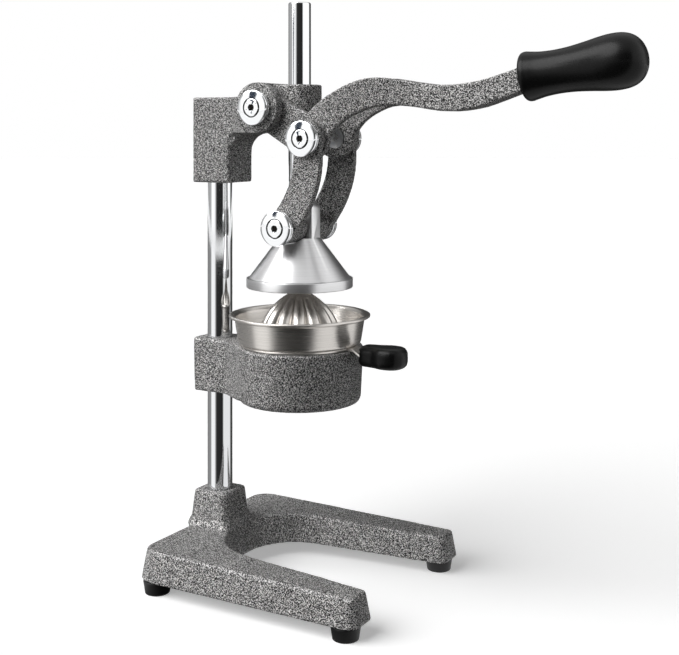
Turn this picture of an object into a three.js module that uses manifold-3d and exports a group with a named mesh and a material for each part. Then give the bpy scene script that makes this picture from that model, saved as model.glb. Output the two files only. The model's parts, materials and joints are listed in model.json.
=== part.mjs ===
// Manual lever citrus press: a cast U-shaped base and a column carry a cup holder and a head.
// A forked lever turns on the head and pushes a pressing cone down over a ribbed reamer.
// Millimetres, +Z up, +X towards the lever's grip; the finished group stands on Z = 0.
import * as THREE from 'three';
import { mergeVertices } from 'three/addons/utils/BufferGeometryUtils.js';
import Module from 'manifold-3d';

const wasm = await Module();
wasm.setup();

// ---- Driving dimensions -------------------------------------------------------------------
// The model is laid out about the vertical press axis (X = 0, Y = 0).

const gap = 0.3; // left between pieces that touch
const reach = 200; // a cutter that only has to pass right through
const columnX = -76;
const columnRadius = 10;

const footHeight = 10.5;
const footTopRadius = 10.7;
const footBottomRadius = 9.4;
const footSpread = 75; // feet centres from the middle plane
const frontFootX = 84;
const rearFootX = -80;

const baseThickness = 23;
const baseRear = -91;
const baseTip = 93;
const baseHalfWidth = 82; // at the top face
const baseDraft = 4.5;
const slotHalfWidth = 48;
const slotTipHalfWidth = 61.5;
const slotEnd = -55;
const tipCorner = 4;
const tipDrop = 3; // how far the legs fall towards their tips
const baseWall = 6;
const socketTopHalf = 15.5;
const socketTop = 61;
const socketDraft = 3.5;
const skirtHeight = 5; // where the socket flares into the base
const skirtDraft = 2.2;

const holderBottom = 140;
const holderTop = 183;
const holderRadius = 49.5;
const holderWall = 5.2;
const holderLip = 38;
const clampHalfWidth = 16.8;
const clampRear = -92.2;
const clampDraft = 2.6; // how far its rear face leans in at the bottom

const funnelWall = 1.2;
const funnelLedge = 2.2; // how far its flange rests on the holder
const spoutRadius = 9;
const spoutBottom = 141.5;

const bowlBottomRadius = 47.6;
const bowlTopRadius = 50.6;
const bowlHeight = 21;
const bowlRimRadius = 55;
const bowlWall = 1.2;
const drainSlots = 12;

const reamerRadius = 33;
const reamerHeight = 40;
const reamerRibs = 12;

const coneRimRadius = 41.4;
const coneRimBottom = 228;
const coneRimHeight = 7.6;
const coneTop = 267;
const coneTopRadius = 15.7;
const coneHollowTop = 254;
const lugTop = 294;
const lugHalfWidth = 15.5;
const lugHalfThickness = 7.2;

const rodRadius = 8.75;
const rodTop = 449;
const studRadius = 4;
const studLength = 6.5;

const blockFront = -55.6;
const blockRear = -91.4;
const blockHalfWidth = 16.8;
const blockBottom = 308;
const blockTop = 376;
const guideRadius = 17.2;
const guideTop = 385;
const guideBottom = 355;
const bushWall = 2.7;
const bushLength = 12;

const fulcrum = { x: -20.3, z: 367 };
const knee = { x: 22.3, z: 343.4 };
const conePivot = { x: 0, z: 275.5 };
const pinRadius = 4.5;
const fulcrumBossRadius = 19.5;
const fulcrumBossFace = 31.2; // outer face, from the middle plane
const cheekInner = 22.5;
const webHalf = 15; // head web and guide, half thickness
const armInner = 15.6;
const armOuter = 22.1;
const armRadius = 14.5; // lever end round the fulcrum
const kneeRadius = 16;
const armRoom = 1.4; // round the arm in the head's slots
const leverRaise = 40; // degrees up from rest
const leverPress = 27; // degrees down from rest
const leverBarHalf = 9;
const crotchX = 93;

const linkInner = 22.5;
const linkThickness = 6.3;
const linkBossFace = 29.8;
const linkKneeRadius = 14.5;
const linkConeRadius = 12.5;
const linkWidth = 23;
const linkBulge = 8.8;
// The cone pin's play in its window: the window's middle beside the resting pin, and half its travel.
const coneWindow = { x: -3.25, z: 2.55, halfX: 3.8, halfZ: 2.9 };

const capRadius = 13.5;
const capThickness = 6.2;
const capEdge = 1;
const screwHeadRadius = 7.1;
const screwHeadThickness = 1.9;
const screwRadius = 3;
const screwLength = 11;
const socketRadius = 2.3;

const gripStart = { x: 186, z: 387 };
const gripLength = 87;
const gripTilt = 7.9; // degrees above level
const tangRadius = 6.5;
const tangLength = 58;

const tabWidth = 14;
const tabThickness = 1.6;
const padStart = 54.5;
const padEnd = 92;
const padHeight = 16;
const padZ = 180.2;

// ---- Materials ----------------------------------------------------------------------------

const paint = new THREE.MeshStandardMaterial({ color: 0x7b7c7e, roughness: 0.5, metalness: 0.4 });
const chrome = new THREE.MeshStandardMaterial({ color: 0xd9dbdd, roughness: 0.08, metalness: 1 });
const steel = new THREE.MeshStandardMaterial({ color: 0xb9b6b1, roughness: 0.3, metalness: 1 });
const aluminium = new THREE.MeshStandardMaterial({ color: 0xc9cacc, roughness: 0.35, metalness: 1 });
const bronze = new THREE.MeshStandardMaterial({ color: 0x8d6a3a, roughness: 0.4, metalness: 1 });
const plastic = new THREE.MeshStandardMaterial({ color: 0x0b0b0c, roughness: 0.25, metalness: 0 });
const rubber = new THREE.MeshStandardMaterial({ color: 0x121212, roughness: 0.85, metalness: 0 });

// ---- Solid helpers ------------------------------------------------------------------------

const degrees = (angle) => (angle * Math.PI) / 180;

// Sides of a round of this radius: 12 on a small screw, 40 on the largest rings.
const facets = (radius) => 4 * Math.round(THREE.MathUtils.clamp(1.5 * Math.sqrt(radius), 3, 10));

// A closed three.js geometry as a solid. Slivers of no area on a lathe's axis are dropped.
function solid(geometry) {
  const bare = geometry.clone();
  for (const name of ['normal', 'uv']) bare.deleteAttribute(name);
  const merged = mergeVertices(bare);
  const triangles = [];
  const corner = [0, 1, 2].map(() => new THREE.Vector3());
  let volume = 0;
  for (let i = 0; i < merged.index.count; i += 3) {
    const [a, b, c] = [0, 1, 2].map((k) => merged.index.getX(i + k));
    if (a === b || b === c || c === a) continue;
    triangles.push(a, b, c);
    [a, b, c].forEach((index, k) => corner[k].fromBufferAttribute(merged.attributes.position, index));
    volume += corner[0].dot(corner[1].cross(corner[2]));
  }
  if (volume < 0) triangles.reverse();
  const vertProperties = new Float32Array(merged.attributes.position.array);
  const triVerts = new Uint32Array(triangles);
  return new wasm.Manifold(new wasm.Mesh({ numProp: 3, vertProperties, triVerts }));
}

function geometryOf(body) {
  const mesh = body.getMesh();
  const geometry = new THREE.BufferGeometry();
  geometry.setAttribute('position', new THREE.BufferAttribute(mesh.vertProperties, 3));
  geometry.setIndex(new THREE.BufferAttribute(mesh.triVerts, 1));
  return geometry;
}

const join = (...bodies) => bodies.reduce((sum, body) => sum.add(body));
const cut = (body, ...tools) => tools.reduce((rest, tool) => rest.subtract(tool), body);

// A block between two corners, each given as [x, y, z].
function block(low, high) {
  const size = high.map((value, i) => value - low[i]);
  const middle = high.map((value, i) => (value + low[i]) / 2);
  return solid(new THREE.BoxGeometry(...size).translate(...middle));
}

// A round bar along X, Y or Z between two places on that axis, at the other two coordinates.
function bar(axis, radius, from, to, across, endRadius = radius, sides = facets(radius)) {
  const geometry = new THREE.CylinderGeometry(endRadius, radius, to - from, sides);
  geometry.translate(0, (from + to) / 2, 0);
  if (axis === 'x') geometry.rotateZ(-Math.PI / 2).translate(0, across[0], across[1]);
  if (axis === 'y') geometry.translate(across[0], 0, across[1]);
  if (axis === 'z') geometry.rotateX(Math.PI / 2).translate(across[0], across[1], 0);
  return solid(geometry);
}

// A solid of revolution about the vertical line at X = 0 from [radius, height] points.
function turned(profile) {
  const sides = facets(Math.max(...profile.map(([radius]) => radius)));
  const points = profile.map(([radius, height]) => new THREE.Vector2(radius, height));
  return solid(new THREE.LatheGeometry(points, sides).rotateX(Math.PI / 2));
}

const closed = (profile) => [...profile, profile[0]];

// Corners given as [x, y, radius]; each rounded corner becomes an arc.
function rounded(corners, step = degrees(20)) {
  const points = [];
  corners.forEach(([x, y, radius], i) => {
    const here = new THREE.Vector2(x, y);
    if (!radius) {
      points.push(here);
      return;
    }
    const before = corners[(i + corners.length - 1) % corners.length];
    const after = corners[(i + 1) % corners.length];
    const toBefore = new THREE.Vector2(before[0] - x, before[1] - y).normalize();
    const toAfter = new THREE.Vector2(after[0] - x, after[1] - y).normalize();
    const half = Math.acos(THREE.MathUtils.clamp(toBefore.dot(toAfter), -1, 1)) / 2;
    const bisector = toBefore.clone().add(toAfter).normalize();
    const centre = here.clone().addScaledVector(bisector, radius / Math.sin(half));
    const start = here.clone().addScaledVector(toBefore, radius / Math.tan(half)).sub(centre);
    const turn = Math.sign(toAfter.cross(toBefore)) * (Math.PI - 2 * half);
    const steps = Math.max(2, Math.ceil(Math.abs(turn) / step));
    for (let k = 0; k <= steps; k += 1) {
      points.push(start.clone().rotateAround(new THREE.Vector2(), (turn * k) / steps).add(centre));
    }
  });
  return points;
}

// An outline in X and Y raised from one height to another.
function raised(points, bottom, top) {
  const options = { depth: top - bottom, bevelEnabled: false };
  return solid(new THREE.ExtrudeGeometry(new THREE.Shape(points), options).translate(0, 0, bottom));
}

// An outline in X and Z, made solid between two places across the machine.
function plate(points, yMin, yMax) {
  const options = { depth: yMax - yMin, bevelEnabled: false };
  const geometry = new THREE.ExtrudeGeometry(new THREE.Shape(points), options);
  return solid(geometry.rotateX(Math.PI / 2).translate(0, yMax, 0));
}

// A raised outline whose walls lean out by `draft` from the top face down to the bottom.
function drafted(points, bottom, top, draft) {
  const height = top - bottom;
  const options = { depth: 1, bevelThickness: height, bevelSize: draft, bevelSegments: 1 };
  const doubled = solid(new THREE.ExtrudeGeometry(new THREE.Shape(points), options));
  const lowerHalf = block([-reach * 2, -reach * 2, -reach], [reach * 2, reach * 2, 1]);
  return cut(doubled, lowerHalf).translate(0, 0, bottom - 1);
}

const rectangle = (xMin, xMax, halfY, radius) => rounded([
  [xMin, -halfY, radius], [xMax, -halfY, radius], [xMax, halfY, radius], [xMin, halfY, radius],
]);

// Both sides of the middle plane: the body and its mirror image.
const bothSides = (make) => join(make(1), make(-1));
const between = (side, inner, outer) => (side > 0 ? [inner, outer] : [-outer, -inner]);

// ---- Frame: base, feet, column -------------------------------------------------------------

const baseTop = footHeight + baseThickness;

function baseOutline(margin) {
  const half = baseHalfWidth - margin;
  const slot = slotHalfWidth + margin;
  const slotTip = slotTipHalfWidth + margin;
  const tip = baseTip - margin;
  const rear = baseRear + margin;
  return rounded([
    [rear, -half + 6, 12], [rear + 10, -half, 12], [tip, -half, tipCorner], [tip, -slotTip, tipCorner],
    [slotEnd - margin, -slot, slot - 4], [slotEnd - margin, slot, slot - 4],
    [tip, slotTip, tipCorner], [tip, half, tipCorner], [rear + 10, half, 12], [rear, half - 6, 12],
  ], degrees(12));
}

function baseCasting() {
  const body = drafted(baseOutline(0), footHeight, baseTop, baseDraft);
  const fall = new THREE.Vector2(baseTip - columnX, -tipDrop);
  const above = plate([
    new THREE.Vector2(columnX, baseTop), new THREE.Vector2(columnX + fall.x + 10, baseTop + fall.y),
    new THREE.Vector2(reach, baseTop + 30), new THREE.Vector2(columnX, baseTop + 30),
  ], -reach, reach);
  const socketOutline = rectangle(columnX - socketTopHalf, columnX + socketTopHalf, socketTopHalf, 4);
  const socket = drafted(socketOutline, baseTop - 1, socketTop, socketDraft);
  const skirtHalf = socketTopHalf + socketDraft - 0.5;
  const skirtOutline = rectangle(columnX - skirtHalf, columnX + skirtHalf, skirtHalf, 4);
  const skirt = drafted(skirtOutline, baseTop - 1, baseTop + skirtHeight, skirtDraft);
  const hollow = raised(baseOutline(baseWall), footHeight - 5, baseTop - baseWall - tipDrop);
  const bosses = footPlaces.map(([x, y]) => bar('z', footTopRadius, footHeight, baseTop - baseWall, [x, y]));
  const columnBoss = bar('z', columnRadius + 9, footHeight, baseTop - 1, [columnX, 0]);
  const within = drafted(baseOutline(0), footHeight, baseTop, baseDraft);
  return cut(
    join(cut(body, above, hollow), socket, skirt, ...[columnBoss, ...bosses].map((boss) => boss.intersect(within))),
    bar('z', columnRadius + gap, columnFoot - gap, reach, [columnX, 0]),
    bar('z', boltRadius + gap, 0, columnFoot, [columnX, 0]),
    bar('z', washerRadius + gap, 0, columnFoot - 4, [columnX, 0]),
    ...footPlaces.map(([x, y]) => bar('z', footScrewRadius + gap, 0, footScrewTop + gap, [x, y])),
  );
}

const footPlaces = [
  [frontFootX, -footSpread], [frontFootX, footSpread], [rearFootX, -footSpread], [rearFootX, footSpread],
];
const footNames = ['front_near', 'front_far', 'rear_near', 'rear_far'];
const footScrewRadius = 2;
const footScrewHeadRadius = 4.4;
const footScrewTop = 21;
const footRecess = 4;

function foot() {
  const body = bar('z', footBottomRadius, 0, footHeight - gap, [0, 0], footTopRadius);
  return cut(
    body,
    bar('z', footScrewRadius + gap, -1, footHeight, [0, 0]),
    bar('z', footScrewHeadRadius + gap, -1, footRecess, [0, 0]),
  );
}

function footScrew() {
  const head = bar('z', footScrewHeadRadius, footRecess - gap - 2.4, footRecess - gap, [0, 0]);
  const shank = bar('z', footScrewRadius, footRecess - gap - 1, footScrewTop, [0, 0]);
  const slot = block([-footScrewHeadRadius, -0.6, 0], [footScrewHeadRadius, 0.6, footRecess - gap - 1.6]);
  return cut(join(head, shank), slot);
}

const columnFoot = 24.3;
const boltRadius = 4;
const boltLength = 26;
const washerRadius = 9.5;
const washerThickness = 1.6;
const headWall = 4; // metal left over the column's end in the head

function column() {
  const top = blockTop - headWall - gap;
  const shaft = bar('z', columnRadius, columnFoot, top, [0, 0]);
  return cut(shaft, bar('z', boltRadius + gap, 0, columnFoot + boltLength - 4, [0, 0]));
}

function columnWasher() {
  const top = columnFoot - 4 - gap;
  const disc = bar('z', washerRadius, top - washerThickness, top, [0, 0]);
  return cut(disc, bar('z', boltRadius + gap, 0, columnFoot, [0, 0]));
}

function columnBolt() {
  const seat = columnFoot - 4 - gap - washerThickness - gap;
  const head = bar('z', boltRadius * 1.7, seat - 5.3, seat, [0, 0], boltRadius * 1.7, 6);
  return join(head, bar('z', boltRadius, seat - 1, columnFoot + boltLength - 4 - gap, [0, 0]));
}

// A headless screw along X whose socket faces the rear.
const setScrewRadius = 3;
function setScrew(length) {
  const body = bar('x', setScrewRadius, 0, length, [0, 0]);
  return cut(body, bar('x', setScrewRadius / 2, -1, length / 2, [0, 0], setScrewRadius / 2, 6));
}

// ---- Cup holder, funnel, strainer and reamer -------------------------------------------------

const funnelRadius = holderRadius - holderWall - gap;

function cupHolder() {
  const outer = turned([
    [0, holderBottom], [holderRadius - 5, holderBottom], [holderRadius - 3, holderBottom + 1],
    [holderRadius - 1.8, holderBottom + 4], [holderRadius, holderTop - 1], [holderRadius - 1, holderTop],
    [0, holderTop],
  ]);
  const clamp = raised(rounded([
    [clampRear, -clampHalfWidth, 5], [columnX + clampHalfWidth, -clampHalfWidth, 8],
    [-36, -32, 0], [-36, 32, 0],
    [columnX + clampHalfWidth, clampHalfWidth, 8], [clampRear, clampHalfWidth, 5],
  ]), holderBottom + 1, holderTop);
  const lean = plate([
    new THREE.Vector2(clampRear, holderTop), new THREE.Vector2(clampRear + clampDraft, holderBottom),
    new THREE.Vector2(reach, holderBottom), new THREE.Vector2(reach, holderTop),
  ], -reach, reach);
  return cut(
    join(outer, clamp.intersect(lean)),
    bar('z', funnelRadius + gap, holderBottom + 8, reach, [0, 0]),
    bar('z', holderLip, 0, reach, [0, 0]),
    bar('z', columnRadius + gap, 0, reach, [columnX, 0]),
    bar('x', setScrewRadius + gap, -reach, columnX, [0, (holderBottom + holderTop) / 2]),
  );
}

const flangeTop = holderTop + gap + funnelWall;
const flangeEdge = funnelRadius + gap + funnelLedge;

function tab() {
  const low = holderTop + gap;
  const drop = padZ - tabThickness / 2 - low;
  const outline = [
    [bowlBottomRadius - 3, low], [padStart - 3, low], [padStart + 3, low + drop], [padStart + 24, low + drop],
    [padStart + 24, low + drop + tabThickness], [padStart + 3, low + drop + tabThickness],
    [padStart - 3, low + tabThickness], [bowlBottomRadius - 3, low + tabThickness],
  ].map(([x, z]) => new THREE.Vector2(x, z));
  return plate(outline, -tabWidth / 2, tabWidth / 2);
}

function funnel() {
  const coneStart = holderTop - 14;
  const coneEnd = spoutBottom + 8;
  const shell = turned(closed([
    [spoutRadius - 1.5, spoutBottom], [spoutRadius, coneEnd], [funnelRadius, coneStart],
    [funnelRadius, holderTop + gap], [flangeEdge, holderTop + gap], [flangeEdge, flangeTop],
    [funnelRadius - funnelWall, flangeTop], [funnelRadius - funnelWall, coneStart + funnelWall],
    [spoutRadius - funnelWall, coneEnd + funnelWall], [spoutRadius - 1.5 - funnelWall, spoutBottom],
  ]));
  const pinHole = bar('z', padScrewRadius + gap, 0, reach, [padStart + 14, 0]);
  const beyondFlange = cut(tab(), bar('z', funnelRadius, 0, reach, [0, 0]));
  const clipped = cut(beyondFlange, bar('z', bowlBottomRadius, flangeTop, reach, [0, 0]));
  return cut(join(shell, clipped), pinHole);
}

const padScrewRadius = 1.8;
const padScrewHead = 3.4;

function funnelGrip() {
  const outline = rounded([
    [padStart, -8, 6], [padStart + 14, -10, 8], [padEnd - 16, -13.4, 12], [padEnd, -12, 11],
    [padEnd, 12, 11], [padEnd - 16, 13.4, 12], [padStart + 14, 10, 8], [padStart, 8, 6],
  ], degrees(20));
  const edge = 5;
  const shape = new THREE.Shape(outline);
  const depth = padHeight - 2 * edge;
  const options = { depth, bevelThickness: edge, bevelSize: edge, bevelOffset: -edge, bevelSegments: 3 };
  const pad = solid(new THREE.ExtrudeGeometry(shape, options).translate(0, 0, padZ - depth / 2));
  const slotEndX = padStart + 24 + gap;
  const slot = block(
    [padStart + 2.6, -tabWidth / 2 - gap, padZ - tabThickness / 2 - gap],
    [slotEndX, tabWidth / 2 + gap, padZ + tabThickness / 2 + gap],
  );
  const mouth = block(
    [padStart - 5, -tabWidth / 2 - gap, padZ - tabThickness / 2 - gap],
    [padStart + 4, tabWidth / 2 + gap, padZ + padHeight / 2 - edge + 1],
  );
  const screwX = padStart + 14;
  return cut(
    pad, slot, mouth,
    bar('z', padScrewRadius + gap, 0, padZ + padHeight / 2 - 2, [screwX, 0]),
    bar('z', padScrewHead + gap, 0, padZ - padHeight / 2 + 2.6, [screwX, 0]),
  );
}

function padScrew() {
  const bottom = padZ - padHeight / 2 + 0.5;
  const head = bar('z', padScrewHead, bottom, bottom + 1.7, [0, 0]);
  const shank = bar('z', padScrewRadius, bottom + 1, padZ + padHeight / 2 - 2 - gap, [0, 0]);
  return cut(join(head, shank), block([-padScrewHead, -0.5, 0], [padScrewHead, 0.5, bottom + 0.8]));
}

const bowlBottom = flangeTop + gap;
const bowlTop = bowlBottom + bowlHeight;

function strainerBowl() {
  const shell = turned([
    [0, bowlBottom], [bowlBottomRadius - 3, bowlBottom], [bowlBottomRadius - 0.8, bowlBottom + 1],
    [bowlBottomRadius, bowlBottom + 3], [bowlTopRadius, bowlTop - 2.4], [bowlRimRadius - 1, bowlTop - 0.6],
    [bowlRimRadius, bowlTop + 0.6], [bowlRimRadius - 1, bowlTop + 1.6],
    [bowlTopRadius - bowlWall, bowlTop - 1], [bowlBottomRadius - bowlWall, bowlBottom + 3],
    [bowlBottomRadius - 3.6, bowlBottom + bowlWall], [0, bowlBottom + bowlWall],
  ]);
  const slots = Array.from({ length: drainSlots }, (_, i) => {
    const slot = block([reamerRadius + 2.5, -1.2, 0], [bowlBottomRadius - 5, 1.2, reach]);
    return slot.rotate([0, 0, ((i + 0.5) * 360) / drainSlots]);
  });
  return cut(shell, ...slots);
}

// A dome whose radius rises and falls round the axis to make the ribs.
function reamer() {
  const foot = bowlBottom + bowlWall + gap;
  const collar = 3;
  const steps = 6;
  const dome = [[0, 0], [reamerRadius, 0], [reamerRadius, collar]];
  for (let i = 1; i <= steps; i += 1) {
    const rise = i / steps;
    const fullness = (1 - rise ** 1.9) ** 0.72;
    dome.push([(reamerRadius - 1) * fullness, collar + rise * (reamerHeight - collar)]);
  }
  const points = dome.map(([radius, height]) => new THREE.Vector2(radius, height));
  const geometry = new THREE.LatheGeometry(points, reamerRibs * 4).rotateX(Math.PI / 2);
  const place = geometry.attributes.position;
  for (let i = 0; i < place.count; i += 1) {
    const [x, y, z] = [place.getX(i), place.getY(i), place.getZ(i)];
    const wave = 0.5 - 0.5 * Math.cos(reamerRibs * Math.atan2(y, x));
    const depth = z > collar ? 0.16 * wave : 0;
    place.setXYZ(i, x * (1 - depth), y * (1 - depth), z);
  }
  return solid(geometry.translate(0, 0, foot));
}

// ---- Head -----------------------------------------------------------------------------------

// The lever's arm from fulcrum to knee, grown by `clearance`, about the fulcrum at the origin.
function armOutline(clearance, steps = 8) {
  const along = new THREE.Vector2(knee.x - fulcrum.x, knee.z - fulcrum.z);
  const tilt = along.angle();
  const taper = Math.asin((kneeRadius - armRadius) / along.length());
  const points = [];
  for (let i = 0; i <= steps; i += 1) {
    const angle = tilt + Math.PI / 2 + taper + ((Math.PI - 2 * taper) * i) / steps;
    points.push(new THREE.Vector2(armRadius + clearance, 0).rotateAround(new THREE.Vector2(), angle));
  }
  for (let i = 0; i <= steps; i += 1) {
    const angle = tilt - Math.PI / 2 - taper + ((Math.PI + 2 * taper) * i) / steps;
    points.push(new THREE.Vector2(kneeRadius + clearance, 0).rotateAround(new THREE.Vector2(), angle).add(along));
  }
  return points;
}

// Everything the arm passes through as the lever turns, in the head's slots.
function armSweep(side) {
  const [yMin, yMax] = between(side, webHalf + gap, cheekInner - gap);
  const arm = plate(armOutline(armRoom, 5), yMin, yMax);
  const past = 3; // degrees beyond each limit
  const turns = [leverPress + past, (leverPress - leverRaise) / 2, -leverRaise - past];
  const poses = turns.map((angle) => arm.rotate([0, angle, 0]));
  return join(...poses).translate(fulcrum.x, 0, fulcrum.z);
}

const bushPlay = 0.2;
const bushRadius = rodRadius + bushPlay + bushWall;

function headCasting() {
  const column = raised(rectangle(blockRear, blockFront, blockHalfWidth, 2), blockBottom, blockTop);
  const neckRise = fulcrum.z + fulcrumBossRadius - blockTop;
  const web = plate(rounded([
    [blockFront - 3, blockTop - 40, 0], [blockFront + 0.2, blockTop - 44, 0],
    [blockFront + 1, fulcrum.z - fulcrumBossRadius, 17],
    [fulcrum.x, fulcrum.z - fulcrumBossRadius, 0], [fulcrum.x + 6, guideBottom, 0],
    [0, guideBottom, 0], [0, guideTop, 0], [fulcrum.x, guideTop, 0],
    [fulcrum.x - 12, blockTop + neckRise - 4, 8], [fulcrum.x - 19, blockTop, 8], [blockFront - 3, blockTop, 0],
  ], degrees(18)), -webHalf, webHalf);
  const guide = bar('z', guideRadius, guideBottom, guideTop, [0, 0])
    .intersect(block([-reach, -webHalf, 0], [reach, webHalf, reach * 3]));
  const boss = bar('y', fulcrumBossRadius, -fulcrumBossFace, fulcrumBossFace, [fulcrum.x, fulcrum.z]);
  // The cheeks flare from the block's sides out to the boss.
  const flare = raised(rounded([
    [blockFront - 6, -blockHalfWidth + 1, 0], [blockFront + 3, -blockHalfWidth, 6],
    [fulcrum.x - 12, -fulcrumBossFace, 10], [fulcrum.x, -fulcrumBossFace, 0],
    [fulcrum.x, fulcrumBossFace, 0], [fulcrum.x - 12, fulcrumBossFace, 10],
    [blockFront + 3, blockHalfWidth, 6], [blockFront - 6, blockHalfWidth - 1, 0],
  ]), blockBottom, guideTop + 5);
  const neck = plate(rounded([
    [blockFront - 6, blockTop - 30, 0], [blockFront + 1, blockTop - 30, 0],
    [blockFront + 2, fulcrum.z - fulcrumBossRadius, 15], [fulcrum.x, fulcrum.z - fulcrumBossRadius, 0],
    [fulcrum.x, fulcrum.z + fulcrumBossRadius, 0], [fulcrum.x - 12, blockTop + neckRise - 4, 6],
    [fulcrum.x - 19, blockTop, 8], [blockFront - 6, blockTop, 0],
  ], degrees(18)), -fulcrumBossFace, fulcrumBossFace).intersect(flare);
  const bushSeat = bushRadius + gap;
  return cut(
    join(column, web, guide, boss, neck),
    armSweep(1), armSweep(-1),
    bar('y', pinRadius + gap, -reach, reach, [fulcrum.x, fulcrum.z]),
    bar('z', columnRadius + gap, 0, blockTop - headWall, [columnX, 0]),
    bar('z', rodRadius + gap, 0, reach * 3, [0, 0]),
    bar('z', bushSeat, guideTop - bushLength - gap, reach * 3, [0, 0]),
    bar('z', bushSeat, 0, guideBottom + bushLength + gap, [0, 0]),
    ...headScrewHeights.map((z) => bar('x', setScrewRadius + gap, -reach, columnX, [0, z])),
  );
}

const headScrewHeights = [blockBottom + 16, blockTop - 18];

function bush() {
  const tube = bar('z', bushRadius, 0, bushLength, [0, 0]);
  return cut(tube, bar('z', rodRadius + bushPlay, -1, bushLength + 1, [0, 0]));
}

// ---- Plunger and pressing cone ----------------------------------------------------------------

const rodBottom = lugTop + gap;

function plungerRod() {
  return turned([
    [0, rodBottom - studLength], [studRadius, rodBottom - studLength], [studRadius, rodBottom],
    [rodRadius, rodBottom], [rodRadius, rodTop - 1], [rodRadius - 1, rodTop], [0, rodTop],
  ]);
}

function pressCone() {
  const shoulder = coneRimBottom + coneRimHeight;
  const shell = turned([
    [0, coneTop], [coneTopRadius, coneTop], [coneRimRadius - 2, shoulder], [coneRimRadius, shoulder - 0.6],
    [coneRimRadius, coneRimBottom], [coneRimRadius - 3, coneRimBottom], [coneRimRadius - 4.4, coneRimBottom + 5],
    [14, coneHollowTop - 3], [8, coneHollowTop], [0, coneHollowTop],
  ]);
  const lug = plate(rounded([
    [-coneTopRadius - 1, coneTop - 4, 0], [coneTopRadius + 1, coneTop - 4, 0],
    [lugHalfWidth, coneTop + 6, 4], [lugHalfWidth, lugTop, 5], [-lugHalfWidth, lugTop, 5],
    [-lugHalfWidth, coneTop + 6, 4],
  ]), -lugHalfThickness, lugHalfThickness);
  const windowAt = [conePivot.x + coneWindow.x, 0, conePivot.z + coneWindow.z];
  const pockets = bothSides((side) => {
    const [yMin, yMax] = between(side, lugHalfThickness, linkInner + linkThickness);
    return plate(slotOutline(linkConeRadius), yMin, yMax);
  });
  const window = plate(slotOutline(pinRadius), -reach, reach);
  return cut(
    join(cut(shell, pockets.translate(windowAt)), lug),
    window.translate(windowAt),
    bar('z', studRadius + gap, rodBottom - studLength - 2 * gap, reach * 3, [0, 0]),
  );
}

// Room for a round piece of this radius to make the whole of the cone pin's travel.
function slotOutline(radius) {
  const [halfX, halfZ] = [radius + gap + coneWindow.halfX, radius + gap + coneWindow.halfZ];
  return rounded([
    [-halfX, -halfZ, radius], [halfX, -halfZ, radius], [halfX, halfZ, radius], [-halfX, halfZ, radius],
  ]);
}

// ---- Lever and links ----------------------------------------------------------------------------

const tangDirection = new THREE.Vector2(1, 0).rotateAround(new THREE.Vector2(), degrees(gripTilt));

function leverProfile() {
  const upper = new THREE.SplineCurve([
    [14, 357], [30, 371], [48, 382], [63, 387.6], [79, 388.6], [101, 385.4], [127, 382.4], [150, 384.3],
    [167, 388.2], [gripStart.x + 4, gripStart.z + 8.4],
  ].map(([x, z]) => new THREE.Vector2(x, z)));
  const lower = new THREE.SplineCurve([
    [gripStart.x + 4, gripStart.z - 8.6], [167, 370.3], [150, 365.4], [127, 363.4], [101, 367], [79, 368],
    [63, 363.7], [48, 355.5], [37, 343], [knee.x + 6, knee.z - 12],
  ].map(([x, z]) => new THREE.Vector2(x, z)));
  return [...upper.getPoints(26), ...lower.getPoints(26)];
}

function leverPlan() {
  const outer = armOuter;
  return rounded([
    [fulcrum.x - 30, -outer, 0], [36, -outer, 40], [crotchX + 8, -leverBarHalf, 40], [reach, -leverBarHalf, 0],
    [reach, leverBarHalf, 0], [crotchX + 8, leverBarHalf, 40], [36, outer, 40], [fulcrum.x - 30, outer, 0],
    [fulcrum.x - 30, armInner, 0], [42, armInner, 40], [crotchX, 2.5, 2], [crotchX, -2.5, 2],
    [42, -armInner, 40], [fulcrum.x - 30, -armInner, 0],
  ]);
}

function lever() {
  const arm = plate(armOutline(0), -armOuter, armOuter).translate(fulcrum.x, 0, fulcrum.z);
  const beam = plate(leverProfile(), -armOuter, armOuter);
  const beyondGrip = block([-gap, -reach, -reach], [reach, reach, reach])
    .rotate([0, -gripTilt, 0]).translate(gripStart.x, 0, gripStart.z);
  const body = cut(join(arm, beam), beyondGrip).intersect(raised(leverPlan(), 0, reach * 3));
  const tang = bar('x', tangRadius, -8, tangLength, [0, 0])
    .rotate([0, -gripTilt, 0]).translate(gripStart.x, 0, gripStart.z);
  const seatDepth = armInner + flangeThickness + gap;
  const flangeSeats = bar('y', flangeRadius + gap, -seatDepth, seatDepth, [knee.x, knee.z]);
  return cut(
    join(body, tang), flangeSeats,
    bar('y', pinRadius + gap, -reach, reach, [fulcrum.x, fulcrum.z]),
    bar('y', pinRadius + gap, -reach, reach, [knee.x, knee.z]),
  );
}

function leverGrip() {
  const outline = [
    [tangRadius + gap, 0], [15.4, 0], [17.2, 1.2], [17.4, 4], [15.9, 14], [15.4, 26], [16.4, 40], [18.2, 54],
    [19.4, 66], [18.9, 74], [16.2, 80.5], [11.4, 84.8], [5.6, 86.7], [0, gripLength],
    [0, tangLength + 2], [tangRadius + gap, tangLength + 2],
  ].map(([radius, height]) => new THREE.Vector2(radius, height));
  const geometry = new THREE.LatheGeometry(outline.concat(outline[0]), 28);
  return solid(geometry.rotateZ(-Math.PI / 2)).rotate([0, -gripTilt, 0]);
}

const flangeRadius = 8;
const flangeThickness = 2;

function kneePin() {
  const shaft = bar('y', pinRadius, armInner + gap, linkBossFace, [0, 0]);
  const flange = bar('y', flangeRadius, armInner + 0.1, armInner + flangeThickness, [0, 0]);
  return cut(join(shaft, flange), threadedEnd(linkBossFace));
}

const threadedEnd = (face) => bar('y', screwRadius + gap, face - screwLength, face + 1, [0, 0]);

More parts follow.
